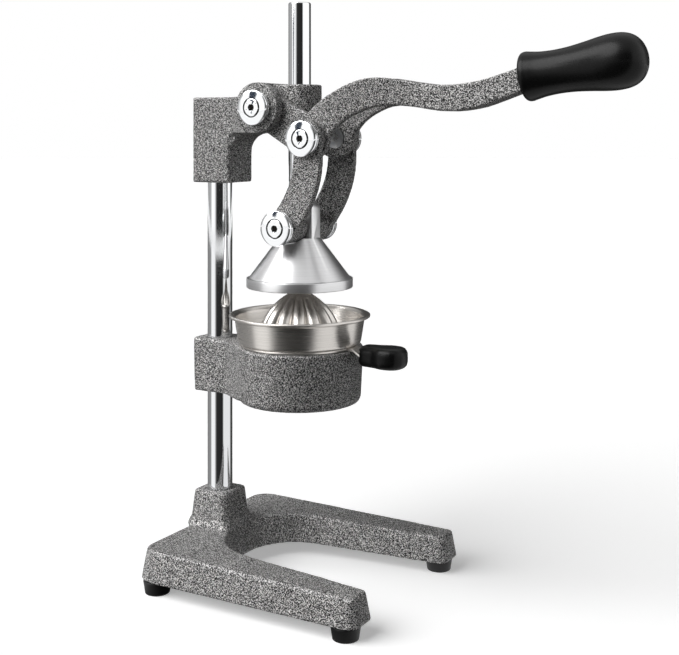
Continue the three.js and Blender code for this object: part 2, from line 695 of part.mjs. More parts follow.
function throughPin(face) {
  const shaft = bar('y', pinRadius, -face, face, [0, 0]);
  return cut(shaft, threadedEnd(face), threadedEnd(face).rotate([0, 0, 180]));
}

// The link's side view: a bent strip between two round ends, bowed towards +X.
function linkOutline() {
  const bow = new THREE.QuadraticBezierCurve(
    new THREE.Vector2(knee.x, knee.z),
    new THREE.Vector2((knee.x + conePivot.x) / 2 + 2 * linkBulge, (knee.z + conePivot.z) / 2 - 3),
    new THREE.Vector2(conePivot.x, conePivot.z),
  );
  const steps = 12;
  const sides = [1, -1].map((side) => Array.from({ length: steps + 1 }, (_, i) => {
    const normal = bow.getTangent(i / steps).rotateAround(new THREE.Vector2(), (side * Math.PI) / 2);
    return bow.getPoint(i / steps).addScaledVector(normal, linkWidth / 2);
  }));
  return [...sides[0], ...sides[1].reverse()];
}

function link(side) {
  const [yMin, yMax] = between(side, linkInner, linkInner + linkThickness);
  const [bossMin, bossMax] = between(side, linkInner, linkBossFace);
  const [deepMin, deepMax] = between(side, lugHalfThickness + 2 * gap, linkBossFace);
  return cut(
    join(
      plate(linkOutline(), yMin, yMax),
      bar('y', linkKneeRadius, bossMin, bossMax, [knee.x, knee.z]),
      bar('y', linkConeRadius, deepMin, deepMax, [conePivot.x, conePivot.z]),
    ),
    bar('y', pinRadius + gap, -reach, reach, [knee.x, knee.z]),
    bar('y', pinRadius + gap, -reach, reach, [conePivot.x, conePivot.z]),
  );
}

// Round caps close each pivot; they lie on the boss face, with the screw head let into them.
function cap() {
  const disc = join(
    bar('y', capRadius, gap, capThickness - capEdge, [0, 0]),
    bar('y', capRadius, capThickness - capEdge, capThickness, [0, 0], capRadius - capEdge),
  );
  return cut(
    disc,
    bar('y', screwHeadRadius + gap, capThickness - screwHeadThickness, reach, [0, 0]),
    bar('y', screwRadius + gap, -1, reach, [0, 0]),
  );
}

function capScrew() {
  const seat = capThickness - screwHeadThickness + gap;
  const top = seat + screwHeadThickness;
  const body = join(
    bar('y', screwHeadRadius, seat, top, [0, 0], screwHeadRadius - 0.4),
    bar('y', screwRadius, 1 - screwLength, seat + 0.5, [0, 0]),
  );
  return cut(body, bar('y', socketRadius, top - 1.3, top + 1, [0, 0], socketRadius, 6));
}

// ---- Assembly -----------------------------------------------------------------------------------

const press = new THREE.Group();

function add(name, body, material, place = [0, 0, 0], turn = 0) {
  const mesh = new THREE.Mesh(geometryOf(body), material);
  mesh.name = name;
  mesh.position.set(...place);
  mesh.rotation.z = turn;
  press.add(mesh);
}

add('base_casting', baseCasting(), paint);
footPlaces.forEach(([x, y], i) => {
  add(`foot_${footNames[i]}`, foot(), rubber, [x, y, 0]);
  add(`foot_screw_${footNames[i]}`, footScrew(), steel, [x, y, 0]);
});
add('column', column(), chrome, [columnX, 0, 0]);
add('column_washer', columnWasher(), steel, [columnX, 0, 0]);
add('column_bolt', columnBolt(), steel, [columnX, 0, 0]);

const columnRear = columnX - columnRadius;
add('cup_holder', cupHolder(), paint);
const holderScrewLength = columnRear - clampRear - 1 - gap;
add('holder_set_screw', setScrew(holderScrewLength), steel, [clampRear + 1, 0, (holderBottom + holderTop) / 2]);
add('funnel', funnel(), steel);
add('funnel_grip', funnelGrip(), plastic);
add('funnel_grip_screw', padScrew(), steel, [padStart + 14, 0, 0]);
add('strainer_bowl', strainerBowl(), steel);
add('reamer', reamer(), steel);

add('head_casting', headCasting(), paint);
const headScrewLength = columnRear - blockRear - 0.5 - gap;
headScrewHeights.forEach((z, i) => {
  add(`head_set_screw_${['lower', 'upper'][i]}`, setScrew(headScrewLength), steel, [blockRear + 0.5, 0, z]);
});
add('guide_bush_upper', bush(), bronze, [0, 0, guideTop - bushLength]);
add('guide_bush_lower', bush(), bronze, [0, 0, guideBottom]);

add('plunger_rod', plungerRod(), chrome);
add('press_cone', pressCone(), aluminium);

add('lever', lever(), paint);
add('lever_grip', leverGrip(), plastic, [gripStart.x, 0, gripStart.z]);
add('fulcrum_pin', throughPin(fulcrumBossFace), steel, [fulcrum.x, 0, fulcrum.z]);
add('cone_pin', throughPin(linkBossFace), steel, [conePivot.x, 0, conePivot.z]);

const pivots = [
  { name: 'fulcrum', at: fulcrum, face: fulcrumBossFace },
  { name: 'knee', at: knee, face: linkBossFace },
  { name: 'cone', at: conePivot, face: linkBossFace },
];
for (const [sideName, side] of [['near', -1], ['far', 1]]) {
  const turn = side > 0 ? 0 : Math.PI;
  add(`link_${sideName}`, link(side), paint);
  add(`knee_pin_${sideName}`, kneePin(), steel, [knee.x, 0, knee.z], turn);
  for (const { name, at, face } of pivots) {
    add(`${name}_cap_${sideName}`, cap(), chrome, [at.x, side * face, at.z], turn);
    add(`${name}_cap_screw_${sideName}`, capScrew(), chrome, [at.x, side * face, at.z], turn);
  }
}

// The origin is the middle of the finished press's footprint box, on the surface it stands on.
press.updateMatrixWorld(true);
const extent = new THREE.Box3().setFromObject(press);
press.position.x = -(extent.min.x + extent.max.x) / 2;
press.updateMatrixWorld(true);

export default press;
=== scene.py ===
"""Looks for the manual lever citrus press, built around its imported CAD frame. Metres, +Z up."""
import json
import math

import bmesh
import bpy
from mathutils import Matrix, Vector


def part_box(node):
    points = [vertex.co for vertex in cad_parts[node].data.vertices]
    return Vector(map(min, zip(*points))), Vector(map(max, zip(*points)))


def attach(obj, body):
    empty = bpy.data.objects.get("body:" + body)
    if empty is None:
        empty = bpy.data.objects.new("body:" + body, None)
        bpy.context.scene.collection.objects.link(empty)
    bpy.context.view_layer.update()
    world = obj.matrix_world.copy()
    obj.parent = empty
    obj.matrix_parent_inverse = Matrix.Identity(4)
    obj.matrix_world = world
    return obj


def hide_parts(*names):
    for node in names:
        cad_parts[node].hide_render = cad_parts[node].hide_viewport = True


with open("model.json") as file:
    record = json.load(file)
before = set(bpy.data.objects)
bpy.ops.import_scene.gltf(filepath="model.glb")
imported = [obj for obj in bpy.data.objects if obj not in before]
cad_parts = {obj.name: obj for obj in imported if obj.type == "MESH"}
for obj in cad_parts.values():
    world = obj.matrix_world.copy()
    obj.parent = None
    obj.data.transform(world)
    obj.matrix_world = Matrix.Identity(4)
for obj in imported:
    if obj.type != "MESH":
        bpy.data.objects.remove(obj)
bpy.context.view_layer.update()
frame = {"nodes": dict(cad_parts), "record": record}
NODES = frame["nodes"]

MM = 0.001
SIDES = ("near", "far")
OUTWARD = {"near": -1, "far": 1}
FEET = ("front_near", "front_far", "rear_near", "rear_far")
SHARP_ANGLE = math.radians(38)


# ---- Places and sizes, read from the frame ---------------------------------------------------

def middle(node):
    low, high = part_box(node)
    return (low + high) / 2


def size(node):
    low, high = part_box(node)
    return high - low


AXIS = middle("plunger_rod")
PRESS_LINE = Vector((AXIS.x, 0, 0))


# ---- Node materials ---------------------------------------------------------------------------

class Shader:
    """A material's node tree with short calls for the nodes used here."""

    def __init__(self, name, **constants):
        self.material = bpy.data.materials.new(name)
        self.material.use_nodes = True
        self.nodes = self.material.node_tree.nodes
        self.links = self.material.node_tree.links
        self.surface = self.nodes["Principled BSDF"]
        for socket, value in constants.items():
            self.surface.inputs[socket.replace("_", " ")].default_value = value

    def add(self, kind, properties=None, **inputs):
        node = self.nodes.new("ShaderNode" + kind)
        for key, value in (properties or {}).items():
            setattr(node, key, value)
        for key, value in inputs.items():
            self.feed(node.inputs[key.replace("_", " ")], value)
        return node

    def feed(self, socket, value):
        if isinstance(value, bpy.types.NodeSocket):
            self.links.new(value, socket)
        else:
            socket.default_value = value

    def math(self, operation, a, b=0.0):
        node = self.nodes.new("ShaderNodeMath")
        node.operation = operation
        self.feed(node.inputs[0], a)
        self.feed(node.inputs[1], b)
        return node.outputs[0]

    def place(self):
        return self.add("TexCoord").outputs["Object"]

    def noise(self, vector, scale, detail=2.0, roughness=0.5):
        settings = {"Scale": scale, "Detail": detail, "Roughness": roughness}
        return self.add("TexNoise", Vector=vector, **settings).outputs["Fac"]

    def distance(self, x, y):
        """How far a point lies from the piece's own Z axis."""
        squares = self.math("ADD", self.math("MULTIPLY", x, x), self.math("MULTIPLY", y, y))
        return self.math("SQRT", squares)

    def ramp(self, value, stops):
        node = self.nodes.new("ShaderNodeValToRGB")
        elements = node.color_ramp.elements
        while len(elements) < len(stops):
            elements.new(0.5)
        for element, (position, shade) in zip(elements, stops):
            element.position = position
            element.color = (*shade, 1) if isinstance(shade, tuple) else (shade, shade, shade, 1)
        self.links.new(value, node.inputs["Fac"])
        return node.outputs["Color"]

    def bump(self, height, strength, distance):
        node = self.add("Bump", Height=height, Strength=strength, Distance=distance)
        self.links.new(node.outputs["Normal"], self.surface.inputs["Normal"])

    def colour(self, socket):
        self.links.new(socket, self.surface.inputs["Base Color"])

    def roughness(self, socket):
        self.links.new(socket, self.surface.inputs["Roughness"])


def grey(value):
    return (value, value, value, 1)


def hammertone_paint():
    """Silver-vein paint: fine light and dark grains over a slightly uneven casting."""
    shader = Shader("hammertone_paint", Metallic=0.12, Specular_IOR_Level=0.35)
    place = shader.place()
    grain = shader.noise(place, 1500, detail=2.0, roughness=0.7)
    veins = shader.add("TexVoronoi", {"feature": "F1"}, Vector=place, Scale=1200.0).outputs["Distance"]
    mixed = shader.math("ADD", shader.math("MULTIPLY", grain, 0.80), shader.math("MULTIPLY", veins, 0.26))
    shader.colour(shader.ramp(mixed, [
        (0.46, (0.002, 0.002, 0.002)), (0.51, (0.022, 0.021, 0.021)),
        (0.55, (0.110, 0.108, 0.106)), (0.605, (0.80, 0.79, 0.78)),
    ]))
    shader.roughness(shader.ramp(mixed, [(0.40, 0.66), (0.66, 0.42)]))
    casting = shader.noise(place, 110, detail=3)
    height = shader.math("ADD", shader.math("MULTIPLY", mixed, 0.40), casting)
    shader.bump(height, 0.30, 0.0006)
    return shader.material


def chrome():
    """Polished plate with faint smears that only touch its roughness."""
    shader = Shader("chrome", Metallic=1.0, Base_Color=(0.80, 0.81, 0.82, 1))
    smear = shader.noise(shader.place(), 60, detail=4)
    shader.roughness(shader.ramp(smear, [(0.35, 0.045), (0.75, 0.10)]))
    return shader.material


def polished_cap():
    """Chrome plate on the pivot caps and their screws, with painted shade: near-black colour in the ring round the
    screw and in its socket.
    """
    shader = Shader("polished_cap", Metallic=1.0)
    parts = shader.add("SeparateXYZ", Vector=shader.place())
    x, y = parts.outputs[0], parts.outputs[1]
    radius = shader.distance(x, y)
    place = shader.math("DIVIDE", radius, CAP_RAMP_REACH)
    # The second colour is painted shade for the screw's socket and the gap round the screw head.
    bright, painted_shade = (0.86, 0.87, 0.88), (0.012, 0.011, 0.010)
    ring_in = (HEAD_RADIUS - 0.25 * MM) / CAP_RAMP_REACH
    ring_out = (HEAD_RADIUS + 0.55 * MM) / CAP_RAMP_REACH
    socket = SOCKET_RADIUS / CAP_RAMP_REACH
    soft = 0.02
    # Painted shade: the colour turns near-black in the socket and in the ring round the screw head, where shade
    # falls.
    shader.colour(shader.ramp(place, [
        (socket - soft, painted_shade), (socket + soft, bright), (ring_in - soft, bright), (ring_in, painted_shade),
        (ring_out - soft, painted_shade), (ring_out, bright),
    ]))
    smear = shader.noise(shader.place(), 90, detail=4)
    shader.roughness(shader.ramp(smear, [(0.35, 0.04), (0.75, 0.09)]))
    return shader.material


def turned_grain(shader, fineness):
    """Noise drawn out round the piece's own Z axis, as lathe or polishing marks are."""
    parts = shader.add("SeparateXYZ", Vector=shader.place())
    x, y, z = (parts.outputs[i] for i in range(3))
    radius = shader.distance(x, y)
    drift = 6.0
    across = shader.math("ADD", shader.math("MULTIPLY", radius, fineness), shader.math("MULTIPLY", x, drift))
    along = shader.math("ADD", shader.math("MULTIPLY", z, fineness), shader.math("MULTIPLY", y, drift))
    vector = shader.add("CombineXYZ", X=across, Y=along).outputs[0]
    return shader.noise(vector, 1.0, detail=3, roughness=0.65)


def turned_metal(name, tint, dark, rough, fineness, bump):
    shader = Shader(name, Metallic=1.0, Anisotropic=0.55, Anisotropic_Rotation=0.25)
    tangent = shader.add("Tangent", {"direction_type": "RADIAL", "axis": "Z"})
    shader.links.new(tangent.outputs[0], shader.surface.inputs["Tangent"])
    marks = turned_grain(shader, fineness)
    shader.colour(shader.ramp(marks, [(0.30, tuple(c * dark for c in tint)), (0.65, tint)]))
    shader.roughness(shader.ramp(marks, [(0.3, rough + 0.08), (0.7, rough - 0.06)]))
    shader.bump(marks, bump, 0.0001)
    return shader.material


def moulded(name, base, specular, rough, texture_scale, bump):
    shader = Shader(name, Base_Color=grey(base), Specular_IOR_Level=specular)
    texture = shader.noise(shader.place(), texture_scale, detail=3)
    shader.roughness(shader.ramp(texture, [(0.3, rough - 0.04), (0.7, rough + 0.06)]))
    shader.bump(texture, bump, 0.0002)
    return shader.material


def plated_steel():
    shader = Shader("zinc_steel", Metallic=1.0)
    mottle = shader.noise(shader.place(), 240, detail=4)
    shader.colour(shader.ramp(mottle, [(0.3, (0.38, 0.39, 0.41)), (0.7, (0.58, 0.58, 0.57))]))
    shader.roughness(shader.ramp(mottle, [(0.3, 0.38), (0.7, 0.24)]))
    return shader.material


def bronze():
    shader = Shader("bronze", Metallic=1.0)
    mottle = shader.noise(shader.place(), 300, detail=4)
    shader.colour(shader.ramp(mottle, [(0.3, (0.25, 0.15, 0.07)), (0.7, (0.48, 0.32, 0.15))]))
    shader.roughness(shader.ramp(mottle, [(0.3, 0.42), (0.7, 0.28)]))
    return shader.material


HEAD_RADIUS = 7.1 * MM
HEAD_DEPTH = 1.9 * MM
SOCKET_RADIUS = 2.5 * MM
CAP_RAMP_REACH = 16 * MM  # the radius at which a cap's colour ramp ends

FINISH = {
    "hammertone_paint": hammertone_paint(),
    "chrome": chrome(),
    "stainless": turned_metal("stainless", (0.70, 0.67, 0.635), 0.84, 0.29, 2600, 0.08),
    "satin_aluminium": turned_metal("satin_aluminium", (0.74, 0.74, 0.745), 0.88, 0.33, 2100, 0.10),
    "zinc_steel": plated_steel(),
    "bronze": bronze(),
    "black_plastic": moulded("black_plastic", 0.004, 0.16, 0.30, 900, 0.03),
    "rubber": moulded("rubber", 0.008, 0.4, 0.55, 1600, 0.25),
}
POLISHED_CAP = polished_cap()


# ---- Mesh helpers -----------------------------------------------------------------------------

def object_of(name, mesh_or_bm):
    if isinstance(mesh_or_bm, bmesh.types.BMesh):
        mesh = bpy.data.meshes.new(name)
        mesh_or_bm.to_mesh(mesh)
        mesh_or_bm.free()
    else:
        mesh = mesh_or_bm
    piece = bpy.data.objects.new(name, mesh)
    bpy.context.scene.collection.objects.link(piece)
    return piece


def apply_modifiers(piece):
    evaluated = piece.evaluated_get(bpy.context.evaluated_depsgraph_get())
    mesh = bpy.data.meshes.new_from_object(evaluated)
    piece.modifiers.clear()
    piece.data = mesh
    return piece


def show(piece, node, finish, smooth=True):
    """The piece stands for a CAD node: same body, the given finish and soft shading, and the node itself is hidden.
    """
    piece.data.materials.clear()
    piece.data.materials.append(FINISH[finish])
    if smooth:
        piece.data.shade_smooth()
        piece.data.set_sharp_from_angle(angle=SHARP_ANGLE)
    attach(piece, BODY_OF[node])
    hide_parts(node)
    return piece


BODY_OF = {
    node: body
    for body, members in frame["record"]["behaviour"]["bodies"].items()
    for node in members
}
SLOT_OF = {entry["node"]: entry["material_slot"] for entry in frame["record"]["subparts"]}


def filleted(profile, closed, arc_steps=4):
    """Profile corners given as (radius, height, fillet), with each fillet drawn as an arc."""
    points = []
    count = len(profile)
    for i, (r, z, *rest) in enumerate(profile):
        fillet = rest[0] if rest else 0
        inner = closed or 0 < i < count - 1
        if not fillet or not inner:
            points.append((r, z))
            continue
        here = Vector((r, z))
        before = (Vector(profile[i - 1][:2]) - here).normalized()
        after = (Vector(profile[(i + 1) % count][:2]) - here).normalized()
        half = max(before.angle(after) / 2, 0.02)
        if half > math.pi / 2 - 0.02:
            points.append((r, z))
            continue
        centre = here + (before + after).normalized() * (fillet / math.sin(half))
        start = here + before * (fillet / math.tan(half)) - centre
        end = here + after * (fillet / math.tan(half)) - centre
        turn = start.angle_signed(end)
        for k in range(arc_steps + 1):
            swing = Matrix.Rotation(-turn * k / arc_steps, 2)
            points.append(tuple(centre + swing @ start))
    return points


def spun(name, profile, sides=128, closed=False, reach=None):
    """A solid of revolution about local Z. `reach(angle, height, radius)` scales the radius for ribs and sockets."""
    bm = bmesh.new()
    rings = []
    for r, z in filleted(profile, closed):
        if r < 1e-7:
            rings.append([bm.verts.new((0, 0, z))])
            continue
        ring = []
        for k in range(sides):
            angle = 2 * math.pi * k / sides
            scaled = r * (reach(angle, z, r) if reach else 1)
            ring.append(bm.verts.new((scaled * math.cos(angle), scaled * math.sin(angle), z)))
        rings.append(ring)
    pairs = list(zip(rings, rings[1:]))
    if closed:
        pairs.append((rings[-1], rings[0]))
    for low, high in pairs:
        for k in range(sides):
            corners = [low[k % len(low)], low[(k + 1) % sides % len(low)],
                       high[(k + 1) % sides % len(high)], high[k % len(high)]]
            unique = list(dict.fromkeys(corners))
            if len(unique) > 2:
                bm.faces.new(unique)
    bmesh.ops.recalc_face_normals(bm, faces=bm.faces)
    return object_of(name, bm)


def prism(name, outline, low, high):
    """An outline in X and Z made solid from one Y to another."""
    bm = bmesh.new()
    face = bm.faces.new([bm.verts.new((x, low, z)) for x, z in outline])
    extruded = bmesh.ops.extrude_face_region(bm, geom=[face])
    moved = [v for v in extruded["geom"] if isinstance(v, bmesh.types.BMVert)]
    bmesh.ops.translate(bm, verts=moved, vec=(0, high - low, 0))
    bmesh.ops.recalc_face_normals(bm, faces=bm.faces)
    return object_of(name, bm)


def rounded_outline(x_low, x_high, z_low, z_high, radius, steps=10):
    points = []
    corners = [(x_high - radius, z_high - radius, 0), (x_low + radius, z_high - radius, 90),
               (x_low + radius, z_low + radius, 180), (x_high - radius, z_low + radius, 270)]
    for x, z, start in corners:
        for k in range(steps + 1):
            angle = math.radians(start + 90 * k / steps)
            points.append((x + radius * math.cos(angle), z + radius * math.sin(angle)))
    return points


def combine(piece, operation, *tools):
    """Boolean with each tool, which is then removed."""
    for tool in tools:
        modifier = piece.modifiers.new("combine", "BOOLEAN")
        modifier.operation = operation
        modifier.solver = "EXACT"
        modifier.object = tool
        apply_modifiers(piece)
        bpy.data.objects.remove(tool)
    return piece


def cast(node, voxel, passes, keep):
    """The CAD casting with its edges rounded as sand-cast metal is."""
    piece = object_of(f"{node}_cast", NODES[node].data.copy())
    remesh = piece.modifiers.new("remesh", "REMESH")
    remesh.mode = "VOXEL"
    remesh.voxel_size = voxel
    soften = piece.modifiers.new("soften", "SMOOTH")
    soften.factor = 0.5
    soften.iterations = passes
    thin = piece.modifiers.new("thin", "DECIMATE")
    thin.ratio = keep
    apply_modifiers(piece)
    return show(piece, node, SLOT_OF[node])


# ---- Castings ---------------------------------------------------------------------------------

CASTINGS = {
    "base_casting": (1.2 * MM, 9, 0.35),
    "cup_holder": (1.0 * MM, 7, 0.4),
    "head_casting": (0.85 * MM, 7, 0.4),
    "lever": (0.8 * MM, 7, 0.4),
    "link_near": (0.6 * MM, 6, 0.4),
    "link_far": (0.6 * MM, 6, 0.4),
}


def make_castings():
    for node, (voxel, passes, keep) in CASTINGS.items():
        cast(node, voxel, passes, keep)


# ---- Column, rod and pressing cone ---------------------------------------------------------------

STUD_RADIUS = 4 * MM
STUD_LENGTH = 6.5 * MM  # the rod screws this far into the cone's lug


def upright(node, chamfer, stud=0):
    """A round bar, with a thinner stud of the given length at its lower end."""
    low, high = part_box(node)
    radius = (high.x - low.x) / 2
    foot = [(0, low.z), (radius, low.z, chamfer)]
    if stud:
        shoulder = low.z + stud
        foot = [(0, low.z), (STUD_RADIUS, low.z), (STUD_RADIUS, shoulder), (radius, shoulder)]
    piece = spun(f"{node}_bar", [*foot, (radius, high.z, chamfer), (0, high.z)])
    piece.location = ((low.x + high.x) / 2, 0, 0)
    return show(piece, node, SLOT_OF[node])


CONE_RIM = 7.6 * MM  # height of the upright band round the cone's mouth
CONE_TOP = 39 * MM  # shoulder under the lug, above the mouth
CONE_TOP_RADIUS = 15.7 * MM
CONE_HOLLOW = 26 * MM
LUG_HALF_LENGTH = 15.5 * MM
LUG_HALF_THICKNESS = 7.2 * MM
WINDOW = Vector((-3.25, 0, 2.55)) * MM  # middle of the pin's travel beside the resting pin
WINDOW_HALF = Vector((3.8, 0, 2.9)) * MM
CLEARANCE = 0.3 * MM


def travel_outline(radius):
    """Room for a round of this radius to make the cone pin's whole travel."""
    pin = middle("cone_pin")
    x_half = radius + CLEARANCE + WINDOW_HALF.x
    z_half = radius + CLEARANCE + WINDOW_HALF.z
    x, z = pin.x + WINDOW.x - AXIS.x, pin.z + WINDOW.z
    return rounded_outline(x - x_half, x + x_half, z - z_half, z + z_half, radius)


def press_cone():
    low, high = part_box("press_cone")
    rim = (high.x - low.x) / 2
    mouth = low.z
    cone = spun("press_cone_turned", [
        (0, mouth + CONE_TOP), (CONE_TOP_RADIUS, mouth + CONE_TOP, 1.5 * MM),
        (rim - 2 * MM, mouth + CONE_RIM, 0.8 * MM), (rim, mouth + CONE_RIM - 0.4 * MM, 0.5 * MM),
        (rim, mouth, 0.8 * MM), (rim - 3 * MM, mouth, 0.8 * MM), (rim - 4.4 * MM, mouth + 5 * MM, 2 * MM),
        (14 * MM, mouth + CONE_HOLLOW - 3 * MM, 4 * MM), (0, mouth + CONE_HOLLOW),
    ], sides=160)
    boss = size("link_near").z  # only its boss radius is needed
    boss_radius = middle("cone_pin").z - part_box("link_near")[0].z
    for side in SIDES:
        sign = OUTWARD[side]
        span = sorted((sign * LUG_HALF_THICKNESS, sign * boss))
        combine(cone, "DIFFERENCE", prism("pocket", travel_outline(boss_radius), *span))
    lug = prism("lug", rounded_outline(
        -LUG_HALF_LENGTH, LUG_HALF_LENGTH, mouth + CONE_TOP - 8 * MM, high.z, 5 * MM,
    ), -LUG_HALF_THICKNESS, LUG_HALF_THICKNESS)
    edge = lug.modifiers.new("edge", "BEVEL")
    edge.width = 2.4 * MM
    edge.segments = 4
    edge.limit_method = "ANGLE"
    apply_modifiers(lug)
    combine(cone, "UNION", lug)
    pin_radius = size("cone_pin").x / 2
    combine(cone, "DIFFERENCE", prism("window", travel_outline(pin_radius), -rim, rim))
    cone.location = PRESS_LINE
    return show(cone, "press_cone", "satin_aluminium")


# ---- Strainer bowl, reamer and funnel --------------------------------------------------------------

SHEET = 1.2 * MM
DRAIN_SLOTS = 12
DRAIN_SLOT_WIDTH = 2.4 * MM


def strainer_bowl():
    low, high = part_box("strainer_bowl")
    rim = (high.x - low.x) / 2
    base = low.z
    wall_top = rim - 4.4 * MM
    wall_base = rim - 7.4 * MM
    lip = high.z
    bowl = spun("strainer_bowl_spun", [
        (0, base), (wall_base, base, 3 * MM), (wall_top, lip - 3.3 * MM, 0.9 * MM),
        (rim - 1.2 * MM, lip - 2.5 * MM, 0.8 * MM), (rim, lip - 1.9 * MM, 0.7 * MM),
        (rim, lip - 0.6 * MM, 0.6 * MM),
        (rim - 1.4 * MM, lip, 0.7 * MM), (wall_top + 0.2 * MM, lip - 0.6 * MM, 1.2 * MM),
        (wall_top - SHEET, lip - 2.6 * MM, 1.0 * MM), (wall_base - SHEET, base + SHEET, 2 * MM),
        (0, base + SHEET),
    ], sides=160)
    slot_inner = size("reamer").x / 2 + 2.5 * MM
    slot_outer = wall_base - 5 * MM
    cutters = bmesh.new()
    for k in range(DRAIN_SLOTS):
        turn = Matrix.Rotation(2 * math.pi * (k + 0.5) / DRAIN_SLOTS, 4, "Z")
        shift = Matrix.Translation(((slot_inner + slot_outer) / 2, 0, base))
        scale = Matrix.Diagonal((slot_outer - slot_inner, DRAIN_SLOT_WIDTH, 6 * SHEET, 1))
        bmesh.ops.create_cube(cutters, size=1, matrix=turn @ shift @ scale)
    combine(bowl, "DIFFERENCE", object_of("slots", cutters))
    bowl.location = PRESS_LINE
    return show(bowl, "strainer_bowl", "stainless")


REAMER_RIBS = 12


def reamer():
    low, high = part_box("reamer")
    radius = (high.x - low.x) / 2
    height = high.z - low.z
    collar = 3 * MM
    rows = 26
    profile = [(0, low.z), (radius, low.z, 0.5 * MM), (radius, low.z + collar, 0.8 * MM)]
    for k in range(1, rows + 1):
        rise = k / rows
        fullness = (1 - rise ** 1.9) ** 0.72
        profile.append(((radius - 1.2 * MM) * fullness, low.z + collar + rise * (height - collar)))

    def ribs(angle, z, r):
        blend = min(1.0, max(0.0, (z - low.z - collar) / (4 * MM)))
        groove = 1 - abs(math.cos(REAMER_RIBS * angle / 2)) ** 0.8
        return 1 - 0.19 * blend * groove

    piece = spun("reamer_ribbed", profile, sides=REAMER_RIBS * 16, reach=ribs)
    piece.location = PRESS_LINE
    return show(piece, "reamer", "stainless")


def funnel():
    """The spun funnel with the bent tab that carries its grip."""
    low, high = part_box("funnel")
    holder_low, holder_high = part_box("cup_holder")
    top = high.z
    flange = (high.y - low.y) / 2
    ledge = holder_high.z + CLEARANCE
    body = flange - 2.5 * MM
    cone_top = holder_high.z - 14 * MM
    cone_end = low.z + 8 * MM
    spout = 9 * MM
    shell = spun("funnel_spun", [
        (spout - 1.5 * MM, low.z), (spout, cone_end, 3 * MM),
        (body, cone_top, 4 * MM), (body, ledge, 0.4 * MM),
        (flange, ledge, 0.4 * MM), (flange, top, 0.4 * MM), (body - SHEET, top, 1.2 * MM),
        (body - SHEET, cone_top + SHEET, 4 * MM), (spout - SHEET, cone_end + SHEET, 3 * MM),
        (spout - 1.5 * MM - SHEET, low.z),
    ], sides=144, closed=True)
    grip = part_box("funnel_grip")
    bend = grip[0].x - AXIS.x
    tab_middle = middle("funnel_grip").z
    end = high.x - AXIS.x
    half = 0.8 * MM
    tab = prism("tab", [
        (flange - 2 * MM, ledge), (bend - 3 * MM, ledge),
        (bend + 3 * MM, tab_middle - half), (end, tab_middle - half),
        (end, tab_middle + half), (bend + 3 * MM, tab_middle + half), (bend - 3 * MM, ledge + 2 * half),
        (flange - 2 * MM, ledge + 2 * half),
    ], -7 * MM, 7 * MM)
    combine(shell, "UNION", tab)
    shell.location = PRESS_LINE
    return show(shell, "funnel", "stainless")


# ---- Grips and feet ----------------------------------------------------------------------------------

def lever_grip():
    """A turned bulb grip on the lever's tang, along the tang's own slope."""
    node = NODES["lever_grip"]
    tilt = GRIP_TILT
    along = Vector((math.cos(tilt), 0, math.sin(tilt)))
    reach = [v.co.dot(along) for v in node.data.vertices]
    start, end = min(reach), max(reach)
    length = end - start
    across = Vector((-math.sin(tilt), 0, math.cos(tilt)))
    heights = [v.co.dot(across) for v in node.data.vertices]
    level = (min(heights) + max(heights)) / 2
    widest = (max(heights) - min(heights)) / 2
    shape = [(0.0, 0.78), (0.008, 0.875), (0.035, 0.905), (0.075, 0.875), (0.16, 0.815), (0.28, 0.79),
             (0.40, 0.815), (0.53, 0.885), (0.65, 0.965), (0.75, 1.0), (0.84, 0.965), (0.91, 0.84),
             (0.96, 0.62), (0.99, 0.32), (1.0, 0.0)]
    hole = 6.8 * MM
    depth = 60 * MM
    outer = spline([(share * widest, place * length) for place, share in shape], 6)
    profile = [(0, depth), (hole, depth), (hole, 0), *outer]
    grip = spun("lever_grip_moulded", profile, sides=96)
    grip.matrix_world = (
        Matrix.Translation(along * start + across * level) @ Matrix.Rotation(math.pi / 2 - tilt, 4, "Y")
    )
    return show(grip, "lever_grip", "black_plastic")


def spline(points, steps):
    """Catmull-Rom through the points."""
    padded = [points[0], *points, points[-1]]
    curve = []
    for p0, p1, p2, p3 in zip(padded, padded[1:], padded[2:], padded[3:]):
        for k in range(steps):
            t = k / steps
            curve.append(tuple(
                0.5 * (2 * b + (c - a) * t + (2 * a - 5 * b + 4 * c - d) * t * t
                       + (3 * b - a - 3 * c + d) * t ** 3)
                for a, b, c, d in zip(p0, p1, p2, p3)
            ))
    return [(max(r, 0.0), z) for r, z in curve] + [points[-1]]


GRIP_TILT = math.radians(7.9)


def funnel_grip():
    piece = object_of("funnel_grip_moulded", NODES["funnel_grip"].data.copy())
    remesh = piece.modifiers.new("remesh", "REMESH")
    remesh.mode = "VOXEL"
    remesh.voxel_size = 0.55 * MM
    soften = piece.modifiers.new("soften", "SMOOTH")
    soften.factor = 0.5
    soften.iterations = 14
    apply_modifiers(piece)
    return show(piece, "funnel_grip", "black_plastic")


def foot(name):
    node = f"foot_{name}"
    low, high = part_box(node)
    top_radius = (high.x - low.x) / 2
    height = high.z - low.z
    hole = 5 * MM
    profile = [
        (hole, 0, 0.4 * MM), (top_radius - 1.4 * MM, 0, 1.0 * MM),
        (top_radius - 0.2 * MM, height * 0.78, 0.6 * MM),
        (top_radius, height * 0.84, 0.4 * MM), (top_radius, height, 0.5 * MM), (2.4 * MM, height),
        (2.4 * MM, 4 * MM), (hole, 4 * MM),
    ]
    piece = spun(f"{node}_moulded", profile, sides=72, closed=True)
    piece.location = ((low.x + high.x) / 2, (low.y + high.y) / 2, low.z)
    return show(piece, node, "rubber")


# ---- Pivot caps and their screws -----------------------------------------------------------------------

def outward_at(node, side, inner):
    """Matrix that puts a piece's local Z outwards, with its zero on the boss face."""
    centre = middle(node)
    turn = Matrix.Rotation(-OUTWARD[side] * math.pi / 2, 4, "X")
    return Matrix.Translation((centre.x, inner, centre.z)) @ turn


def boss_face(pivot, side):
    low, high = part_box(f"{pivot}_cap_{side}")
    return high.y if side == "near" else low.y


